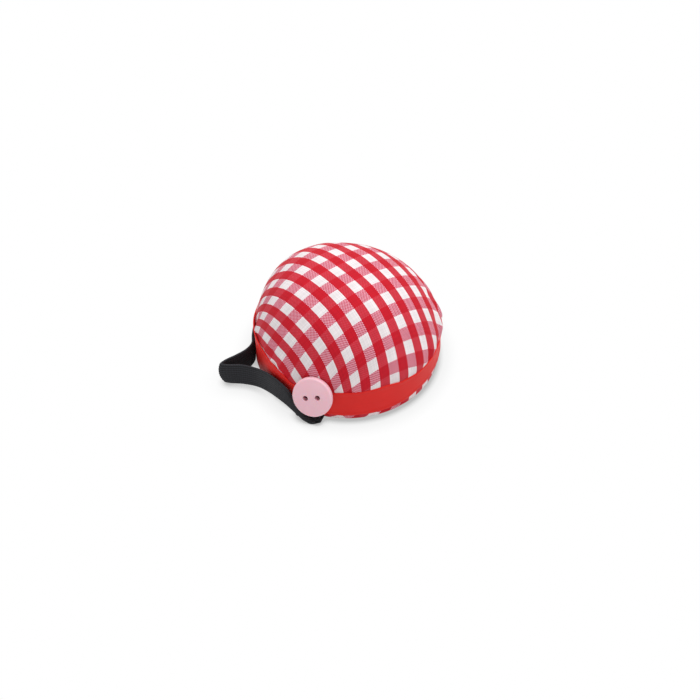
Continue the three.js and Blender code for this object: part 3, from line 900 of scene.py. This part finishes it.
def strap_slits():
    """Cutters for the two slits that the strap goes through."""
    slits = []
    for bearing in (STRAP_BEARING, STRAP_BEARING + 180):
        slit = bmesh.new()
        size = (SLIT_DEPTH, STRAP_WIDTH + SLIT_ROOM[0], STRAP_THICKNESS + SLIT_ROOM[1])
        bmesh.ops.create_cube(slit, size=1, matrix=Matrix.Diagonal((*size, 1)))
        bmesh.ops.translate(slit, vec=(COVER_RADIUS + SLIT_PLACE, 0, STRAP_LEVEL), verts=slit.verts)
        turn = Matrix.Rotation(math.radians(bearing), 3, "Z")
        bmesh.ops.rotate(slit, cent=(0, 0, 0), matrix=turn, verts=slit.verts)
        slits.append(slit)
    return slits


def base_cloth(material):
    profile = base_profile()
    base = new_piece("base_cloth", spun(profile, COVER_SECTORS), material)
    points = mesh_points(base.data)
    radii, bearings = plan_places(points)
    outline = np.array(profile)
    lengths = np.concatenate([[0], np.cumsum(np.hypot(*np.diff(outline, axis=0).T))])
    gaps = (radii[:, None] - outline[:, 0]) ** 2 + (points[:, 2:] - outline[:, 1]) ** 2
    drawn = lengths[gaps.argmin(1)]
    angles = np.radians(bearings - COVER_WARP_BEARING)
    checks = np.stack([-drawn * np.sin(angles) / CHECK_ACROSS, drawn * np.cos(angles) / CHECK_ALONG], 1)
    put_map(base.data, "cloth", checks + np.array(COVER_CHECK))
    draw = random.Random(SEED + 1)
    depth = np.zeros(len(points))
    for k in range(COVER_PUCKERS):
        middle = (k + draw.uniform(-PUCKER_JITTER, PUCKER_JITTER)) * 360 / COVER_PUCKERS
        off = turned(bearings, middle) / draw.uniform(*COVER_PUCKER_WIDTH)
        depth += draw.uniform(*COVER_PUCKER_DEPTH) * np.exp(-off ** 2)
    fade = np.exp(-((points[:, 2] - COVER_PUCKER_LEVEL) / COVER_PUCKER_FADE) ** 2)
    fade *= radii > COVER_RADIUS - 2 * COVER_EDGE
    points[:, :2] *= (1 - fade * depth / np.maximum(radii, LEAST_RADIUS))[:, None]
    put_points(base.data, points)
    thicken(base, COVER_CLOTH)
    cut_away(base, strap_slits())
    return base


# Ribbon

def rim_ribbon(material):
    around = 360 + math.degrees(RIBBON_OVERLAP / RIBBON_RADIUS)
    ramp = math.degrees(RIBBON_RAMP / RIBBON_RADIUS)
    start = BUTTON_BEARING - (around - 360) / 2
    length = math.radians(around) * RIBBON_RADIUS
    strip = bmesh.new()
    layer = strip.loops.layers.uv.new("strip")
    bmesh.ops.create_grid(strip, x_segments=RIBBON_SEGMENTS, y_segments=RIBBON_ROWS, size=0.5, calc_uvs=True)
    for face in strip.faces:
        for loop in face.loops:
            share, up = loop.vert.co.x + 0.5, loop.vert.co.y + 0.5
            loop[layer].uv = (share * length, up * (RIBBON_TOP - RIBBON_LOW))
    for vert in strip.verts:
        turn, up = (vert.co.x + 0.5) * around, vert.co.y + 0.5
        bearing = start + turn
        rise = min(max((turn - 360 + ramp) / ramp, 0), 1)
        climb = RIBBON_CLIMB * rise * rise * (3 - 2 * rise)
        top = RIBBON_TOP + wave_at(RIBBON_TOP_WAVE, bearing)
        low = RIBBON_LOW + wave_at(RIBBON_LOW_WAVE, bearing)
        height = low + up * (top - low)
        edge = min(up, 1 - up) * (RIBBON_TOP - RIBBON_LOW)
        hem = RIBBON_HEM_RISE / (1 + math.exp((edge - RIBBON_HEM) / RIBBON_HEM_SOFTNESS))
        crinkle = Vector((bearing / RIPPLE_TURN, height / RIPPLE_RISE, turn // 360))
        ripple = RIPPLE_HEIGHT * noise.noise(crinkle)
        loose = min(max((height - RIBBON_FLARE_START) / (top - RIBBON_FLARE_START), 0), 1)
        aside = turned(bearing, RIBBON_FLARE_BEARING) / RIBBON_FLARE_SPREAD
        flare = RIBBON_FLARE * loose * loose * math.exp(-aside * aside)
        vert.co = polar(bearing, RIBBON_RADIUS + climb + hem + ripple + flare, height)
    ribbon = new_piece("rim_ribbon_cloth", strip, material)
    thicken(ribbon, RIBBON_THICKNESS)
    return ribbon, length


# Button

def pink_button(material):
    rim = BUTTON_RIM / 2
    profile = [(0, 0), (BUTTON_RADIUS / 2, 0)]
    profile += arc(BUTTON_RADIUS - BUTTON_BACK_EDGE, BUTTON_BACK_EDGE, BUTTON_BACK_EDGE, -90, 0,
                   BUTTON_BACK_STEPS)
    profile += arc(BUTTON_RADIUS - rim, BUTTON_THICKNESS - BUTTON_RISE - rim, rim, 0, 90, BUTTON_RIM_STEPS)
    for k in range(1, BUTTON_FACE_RINGS + 1):
        share = 1 - k / BUTTON_FACE_RINGS
        profile.append(((BUTTON_RADIUS - rim) * share, BUTTON_THICKNESS - BUTTON_RISE * share * share))
    button = new_piece("pink_button", spun(profile, BUTTON_SECTORS), material)
    holes = []
    for side in (-1, 1):
        hole = bmesh.new()
        bmesh.ops.create_cone(hole, cap_ends=True, segments=BUTTON_HOLE_SECTORS, radius1=BUTTON_HOLE / 2,
                              radius2=BUTTON_HOLE / 2, depth=4 * BUTTON_THICKNESS)
        bmesh.ops.translate(hole, vec=(side * BUTTON_HOLE_SPACING / 2, 0, BUTTON_THICKNESS), verts=hole.verts)
        holes.append(hole)
    cut_away(button, holes)
    shape = bmesh.new()
    shape.from_mesh(button.data)
    inner_edges = [edge for edge in shape.edges if len(edge.link_faces) == 2]
    sharp = [edge for edge in inner_edges if edge.calc_face_angle() > math.radians(BUTTON_SHARP)]
    bmesh.ops.bevel(shape, geom=sharp, offset=BUTTON_ROUNDING * MM, affect="EDGES",
                    segments=BUTTON_ROUNDING_STEPS, profile=0.5, material=-1, clamp_overlap=True)
    shape.to_mesh(button.data)
    shape.free()
    button.data.polygons.foreach_set("use_smooth", [True] * len(button.data.polygons))
    seat = Matrix.Translation(polar(BUTTON_BEARING, BUTTON_REACH, BUTTON_HEIGHT) * MM)
    seat @= Matrix.Rotation(math.radians(BUTTON_BEARING + 90), 4, "Z")
    seat @= Matrix.Rotation(math.radians(90 - BUTTON_TILT), 4, "X")
    seat @= Matrix.Rotation(math.radians(BUTTON_HOLE_ANGLE), 4, "Z")
    button.data.transform(seat)
    return button


# Strap

def route_rows():
    def row(pair):
        return [polar(STRAP_BEARING + bearing, STRAP_TOUCH + out * STRAP_WIDTH, height * STRAP_WIDTH)
                for bearing, out, height in pair]

    def flat_row(bearing, distance, side):
        turn = Matrix.Rotation(math.radians(STRAP_BEARING + bearing), 3, "Z")
        half = side * STRAP_WIDTH / 2
        return [turn @ Vector((distance, offset, STRAP_LEVEL)) for offset in (half, -half)]

    back = [((bearing, 0, BACK_LIFT), (bearing, 0, BACK_LIFT + 1)) for bearing in BACK_BEARINGS]
    mirrored = [tuple((-180 - bearing, out, height) for bearing, out, height in pair) for pair in SLIT_TURN]
    ends = (*STRAP_TAB_ROWS, STRAP_START, STRAP_START + STRAP_STUB)
    rows = [flat_row(0, distance, 1) for distance in ends]
    rows += [row(pair) for pair in SLIT_TURN + FOLD_ROWS + back + mirrored[::-1]]
    rows += [flat_row(-180, distance, -1) for distance in ends[::-1]]
    return np.array(rows)


def through_rows(points, steps):
    """A smooth line through points, by centripetal interpolation."""
    padded = np.concatenate([[2 * points[0] - points[1]], points, [2 * points[-1] - points[-2]]])
    line = []
    for k in range(1, len(padded) - 2):
        p0, p1, p2, p3 = padded[k - 1:k + 3]
        gaps = [max(np.linalg.norm(q - p) ** 0.5, SHORTEST_GAP) for p, q in ((p0, p1), (p1, p2), (p2, p3))]
        leave = (p1 - p0) / gaps[0] - (p2 - p0) / (gaps[0] + gaps[1]) + (p2 - p1) / gaps[1]
        arrive = (p2 - p1) / gaps[1] - (p3 - p1) / (gaps[1] + gaps[2]) + (p3 - p2) / gaps[2]
        leave, arrive = leave * gaps[1], arrive * gaps[1]
        for step in range(steps):
            t = step / steps
            line.append((2 * t ** 3 - 3 * t ** 2 + 1) * p1 + (t ** 3 - 2 * t ** 2 + t) * leave
                        + (3 * t ** 2 - 2 * t ** 3) * p2 + (t ** 3 - t ** 2) * arrive)
    line.append(points[-1])
    return np.array(line)


def band_section():
    """Places round the band: across it and through it, with round ribs and round edges."""
    count = STRAP_RIBS * STRAP_RIB_POINTS
    face = []
    for k in range(count + 1):
        even = 2 * k / count - 1
        share = (1 - STRAP_CROWDING) * even - STRAP_CROWDING * math.cos(math.pi * k / count)
        rib = abs(math.sin(math.pi * STRAP_RIBS * (share + 1) / 2))
        groove = 1 - rib if abs(share) < 1 - 0.5 / STRAP_RIBS else STRAP_SELVEDGE
        edge = (1 - abs(share) ** STRAP_EDGE_POWER) ** 0.5
        face.append((share, (1 - STRAP_GROOVE * groove) * max(edge, STRAP_EDGE_LEAST)))
    return face + [(share, -swell) for share, swell in face[::-1]] + [face[0]]


def elastic_strap(material):
    rows = route_rows()
    lower, upper = (through_rows(rows[:, k], STRAP_STEPS) for k in (0, 1))
    middle = (lower + upper) / 2
    along = np.gradient(middle, axis=0)
    across = upper - lower
    across *= STRAP_WIDTH / 2 / np.linalg.norm(across, axis=1)[:, None]
    through = np.cross(along, across)
    through *= STRAP_THICKNESS / 2 / np.linalg.norm(through, axis=1)[:, None]
    lengths = np.concatenate([[0], np.cumsum(np.linalg.norm(np.diff(middle, axis=0), axis=1))])
    apex = np.hypot(middle[:, 0], middle[:, 1]).argmax()
    outward = middle[apex] * (1, 1, 0) / np.hypot(*middle[apex, :2])
    bulge = FOLD_BULGE * np.exp(-((lengths - lengths[apex]) / FOLD_SPREAD) ** 2)
    section = band_section()
    band = bmesh.new()
    layer = band.loops.layers.uv.new("band")
    long_steps, round_steps = len(middle) - 1, len(section) - 1
    bmesh.ops.create_grid(band, x_segments=long_steps, y_segments=round_steps, size=0.5, calc_uvs=True)
    stations = {}
    for vert in band.verts:
        stations[vert] = (round((vert.co.x + 0.5) * long_steps), round((vert.co.y + 0.5) * round_steps))
    for face in band.faces:
        for loop in face.loops:
            station, place = stations[loop.vert]
            loop[layer].uv = (lengths[station], (section[place][0] + 1) * STRAP_WIDTH / 2)
    for vert, (station, place) in stations.items():
        share, swell = section[place]
        round_off = (1 - share * share) * bulge[station] * outward
        vert.co = Vector(middle[station] + share * across[station] + swell * through[station] + round_off)
    bmesh.ops.remove_doubles(band, verts=band.verts, dist=STRAP_MERGE)
    bmesh.ops.holes_fill(band, edges=[edge for edge in band.edges if edge.is_boundary])
    bmesh.ops.recalc_face_normals(band, faces=band.faces)
    return new_piece("elastic_strap", band, material), lengths[-1]


# Pieces in place

gingham = gingham_cotton()
dome = dome_cloth(gingham)
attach(dome, "cushion")
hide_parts("dome_cover")

base = base_cloth(gingham)
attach(base, "cushion")
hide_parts("base_cover")

ribbon, ribbon_length = rim_ribbon(satin_ribbon())
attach(ribbon, "cushion")
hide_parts("rim_ribbon")

button = pink_button(pink_plastic())
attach(button, "cushion")
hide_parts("button")

strap, strap_length = elastic_strap(black_elastic())
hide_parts("wrist_strap", "strap_end_front", "strap_end_rear")
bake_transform(strap)

hidden_finishes = {
    "base_cup": cup_plastic(),
    "fibre_filling": fibre_wadding(),
    "gather_thread": twisted_thread(),
    "dome_glue": set_glue("set glue", srgb(233, 226, 205)),
    # Painted shade: the glue behind the button is coloured the dark red of the ribbon in shadow, as it looks
    # through the holes
    "button_glue": set_glue("glue painted with the shaded ribbon", srgb(104, 20, 30)),
}
for name, finish in hidden_finishes.items():
    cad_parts[name].data.materials.clear()
    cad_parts[name].data.materials.append(finish)


# Stage

def seen_rays(tree):
    """1 for what the camera sees, straight or by a mirror or glass, and 0 for light."""
    rays = tree.nodes.new("ShaderNodeLightPath").outputs
    mirrored = maths(tree, "MAXIMUM", rays["Is Glossy Ray"], rays["Is Transmission Ray"])
    return maths(tree, "MAXIMUM", rays["Is Camera Ray"], mirrored)


def floor_shade(tree, reach, fall_off, depth):
    """Light left on the floor near a piece, darkest where half of what is above is hidden."""
    cover = tree.nodes.new("ShaderNodeAmbientOcclusion")
    cover.inputs["Distance"].default_value = reach * MM
    hidden = maths(tree, "MULTIPLY", maths(tree, "SUBTRACT", 1.0, cover.outputs["AO"]), 2.0)
    dark = maths(tree, "POWER", maths(tree, "MINIMUM", hidden, 1.0), fall_off)
    return maths(tree, "SUBTRACT", 1.0, maths(tree, "MULTIPLY", dark, depth))


def pale_floor():
    """Floor that is pale to the light, and clear to the eye apart from the shadow that it keeps."""
    shape = bmesh.new()
    bmesh.ops.create_grid(shape, x_segments=1, y_segments=1, size=FLOOR_SIZE / 2)
    material, tree, shader = new_material("pale floor", base_color=srgb(*FLOOR_COLOUR), roughness=0.9)
    clear = tree.nodes.new("ShaderNodeBsdfTransparent")
    shade = maths(tree, "MULTIPLY", floor_shade(tree, *NEAR_SHADE), floor_shade(tree, *FAR_SHADE))
    plug(tree, clear.inputs["Color"], grey(tree, shade))
    mixed = tree.nodes.new("ShaderNodeMixShader")
    plug(tree, mixed.inputs["Fac"], seen_rays(tree))
    plug(tree, mixed.inputs[1], shader.outputs["BSDF"])
    plug(tree, mixed.inputs[2], clear.outputs["BSDF"])
    plug(tree, tree.nodes["Material Output"].inputs["Surface"], mixed.outputs["Shader"])
    new_piece("floor", shape, material)


def studio_light():
    world = bpy.data.worlds.new("studio")
    bpy.context.scene.world = world
    world.use_nodes = True
    tree = world.node_tree
    background = tree.nodes["Background"]
    background.inputs["Color"].default_value = (1, 1, 1, 1)
    plug(tree, background.inputs["Strength"], spread(tree, seen_rays(tree), 0, 1, WORLD_LIGHT, 1))
    lamp = bpy.data.lights.new("key", "AREA")
    lamp.shape = "DISK"
    lamp.size = KEY_SIZE * MM
    place = Vector(KEY_PLACE) * MM
    lamp.energy = KEY_LEVEL * math.pi ** 2 * place.length_squared
    key = bpy.data.objects.new("key", lamp)
    key.location = place
    key.rotation_euler = (-place).to_track_quat("-Z", "Y").to_euler()
    bpy.context.scene.collection.objects.link(key)


def photo_camera():
    elevation = math.radians(CAMERA_ELEVATION)
    back = Vector((0, -math.cos(elevation), math.sin(elevation)))
    lens = bpy.data.cameras.new("camera")
    lens.sensor_width = SENSOR
    lens.lens = CAMERA_LENS
    lens.shift_x, lens.shift_y = SHIFT
    lens.clip_start = CLIP_START * MM
    camera = bpy.data.objects.new("camera", lens)
    camera.location = back * CAMERA_DISTANCE * MM
    aim = (-back).to_track_quat("-Z", "Y").to_matrix() @ Matrix.Rotation(math.radians(CAMERA_ROLL), 3, "Z")
    camera.rotation_euler = aim.to_euler()
    bpy.context.scene.collection.objects.link(camera)
    bpy.context.scene.camera = camera


pale_floor()
studio_light()
photo_camera()
bpy.context.scene.view_settings.view_transform = "Standard"
